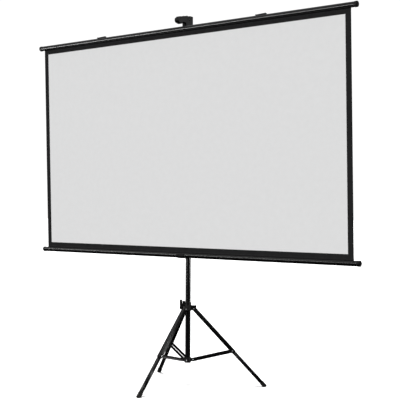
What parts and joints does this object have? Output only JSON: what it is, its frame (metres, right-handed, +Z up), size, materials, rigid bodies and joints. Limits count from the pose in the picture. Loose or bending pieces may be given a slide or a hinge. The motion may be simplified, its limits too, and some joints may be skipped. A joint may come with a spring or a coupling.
{
  "type": "projection screen",
  "caption": "Flat projection sheet with a black border, held between two round bars on a telescopic mast with folding tripod legs.",
  "frame": {"origin": "on the floor, at the middle of the outline seen from above", "axes": "+Z up; +X along the bars, to the right of someone who looks at the sheet; the sheet faces -Y"},
  "size_m": [2.36, 0.7282, 2.2053],
  "materials": {
    "black_paint": "satin black powder coat",
    "black_plastic": "fine-grained black moulding",
    "steel": "bright zinc",
    "rubber": "matt black rubber",
    "white_fabric": "matt white projection cloth with a matt black border"
  },
  "bodies": {
    "lower_mast": {"lower_tube": "black_paint", "brace_hub": "black_plastic", "front_hub_pin": "steel", "right_hub_pin": "steel", "left_hub_pin": "steel", "height_lock_collar": "black_plastic"},
    "height_knob": {"height_lock_knob": "black_plastic", "height_lock_screw": "steel"},
    "leg_collar": {"leg_collar": "black_plastic", "front_leg_pin": "steel", "right_leg_pin": "steel", "left_leg_pin": "steel"},
    "collar_knob": {"collar_knob": "black_plastic", "collar_knob_screw": "steel"},
    "front_leg": {"front_leg_channel": "black_paint", "front_leg_tube": "black_paint", "front_leg_rivet": "steel", "front_boot": "rubber"},
    "right_leg": {"right_leg_channel": "black_paint", "right_leg_tube": "black_paint", "right_leg_rivet": "steel", "right_boot": "rubber"},
    "left_leg": {"left_leg_channel": "black_paint", "left_leg_tube": "black_paint", "left_leg_rivet": "steel", "left_boot": "rubber"},
    "front_brace": {"front_brace_bar_a": "black_paint", "front_brace_bar_b": "black_paint"},
    "right_brace": {"right_brace_bar_a": "black_paint", "right_brace_bar_b": "black_paint"},
    "left_brace": {"left_brace_bar_a": "black_paint", "left_brace_bar_b": "black_paint"},
    "middle_mast": {"middle_tube": "black_paint", "middle_tube_bush": "black_plastic", "extension_lock_collar": "black_plastic", "bottom_clip": "black_plastic", "clip_screw": "steel", "bottom_bar": "black_paint", "bottom_bar_cap_left": "black_plastic", "bottom_bar_cap_right": "black_plastic", "bottom_hem_rod": "steel", "screen_fabric": "white_fabric"},
    "extension_knob": {"extension_lock_knob": "black_plastic", "extension_lock_screw": "steel"},
    "top_mast": {"top_tube": "black_paint", "top_tube_bush": "black_plastic", "mast_head": "black_plastic", "hook_pin": "steel", "bar_hanger": "black_plastic", "top_bar": "black_paint", "top_bar_cap_left": "black_plastic", "top_bar_cap_right": "black_plastic", "top_hem_rod": "steel", "left_hanger_base": "black_paint", "right_hanger_base": "black_paint"},
    "hook_arm": {"hook_arm": "black_plastic"},
    "left_lever": {"left_hanger_lever": "black_paint"},
    "right_lever": {"right_hanger_lever": "black_paint"}
  },
  "joints": [
    {"name": "collar_slide", "type": "slide", "parent": "lower_mast", "child": "leg_collar", "axis": [0, 0, 1], "range_m": [0, 0.268]},
    {"name": "front_leg_fold", "type": "hinge", "parent": "leg_collar", "child": "front_leg", "pos_m": [0.00113, 0.07135, 0.456], "axis": [0.9995, 0.0305, 0], "range_deg": [0, 34.3]},
    {"name": "right_leg_fold", "type": "hinge", "parent": "leg_collar", "child": "right_leg", "pos_m": [0.03146, 0.1278, 0.456], "axis": [-0.5262, 0.8504, 0], "range_deg": [0, 34.3]},
    {"name": "left_leg_fold", "type": "hinge", "parent": "leg_collar", "child": "left_leg", "pos_m": [-0.03259, 0.12584, 0.456], "axis": [-0.4733, -0.8809, 0], "range_deg": [0, 34.3]},
    {"name": "front_brace_fold", "type": "hinge", "parent": "lower_mast", "child": "front_brace", "pos_m": [0.00098, 0.07634, 0.1525], "axis": [-0.9995, -0.0305, 0], "range_deg": [0, 62.9]},
    {"name": "right_brace_fold", "type": "hinge", "parent": "lower_mast", "child": "right_brace", "pos_m": [0.02721, 0.12517, 0.1525], "axis": [0.5262, -0.8504, 0], "range_deg": [0, 62.9]},
    {"name": "left_brace_fold", "type": "hinge", "parent": "lower_mast", "child": "left_brace", "pos_m": [-0.02819, 0.12348, 0.1525], "axis": [0.4733, 0.8809, 0], "range_deg": [0, 62.9]},
    {"name": "collar_knob_turn", "type": "hinge", "parent": "leg_collar", "child": "collar_knob", "pos_m": [0, 0.10833, 0.481], "axis": [-0.8504, -0.5262, 0], "range_deg": [0, 540]},
    {"name": "mast_height", "type": "slide", "parent": "lower_mast", "child": "middle_mast", "axis": [0, 0, 1], "range_m": [0, 0.22]},
    {"name": "height_knob_turn", "type": "hinge", "parent": "lower_mast", "child": "height_knob", "pos_m": [0, 0.10833, 0.816], "axis": [0, 1, 0], "range_deg": [0, 540]},
    {"name": "mast_extension", "type": "slide", "parent": "middle_mast", "child": "top_mast", "axis": [0, 0, 1], "range_m": [-0.45, 0], "deforming": ["screen_fabric"]},
    {"name": "extension_knob_turn", "type": "hinge", "parent": "middle_mast", "child": "extension_knob", "pos_m": [0, 0.10833, 1.554], "axis": [0, 1, 0], "range_deg": [0, 540]},
    {"name": "hook_arm_lift", "type": "hinge", "parent": "top_mast", "child": "hook_arm", "pos_m": [0, 0.08133, 2.18826], "axis": [-1, 0, 0], "range_deg": [0, 60]},
    {"name": "left_lever_fold", "type": "hinge", "parent": "top_mast", "child": "left_lever", "pos_m": [-0.5905, 0.0045, 2.13315], "axis": [0, 0.9995, 0.031], "range_deg": [0, 90]},
    {"name": "right_lever_fold", "type": "hinge", "parent": "top_mast", "child": "right_lever", "pos_m": [0.6155, 0.0045, 2.13315], "axis": [0, 0.9995, 0.031], "range_deg": [0, 90]}
  ],
  "couplings": [
    {"joint": "front_leg_fold", "follows": "collar_slide", "rad_per_m": 2.2275},
    {"joint": "right_leg_fold", "follows": "collar_slide", "rad_per_m": 2.2275},
    {"joint": "left_leg_fold", "follows": "collar_slide", "rad_per_m": 2.2275},
    {"joint": "front_brace_fold", "follows": "collar_slide", "rad_per_m": 4.0931},
    {"joint": "right_brace_fold", "follows": "collar_slide", "rad_per_m": 4.0931},
    {"joint": "left_brace_fold", "follows": "collar_slide", "rad_per_m": 4.0931}
  ]
}
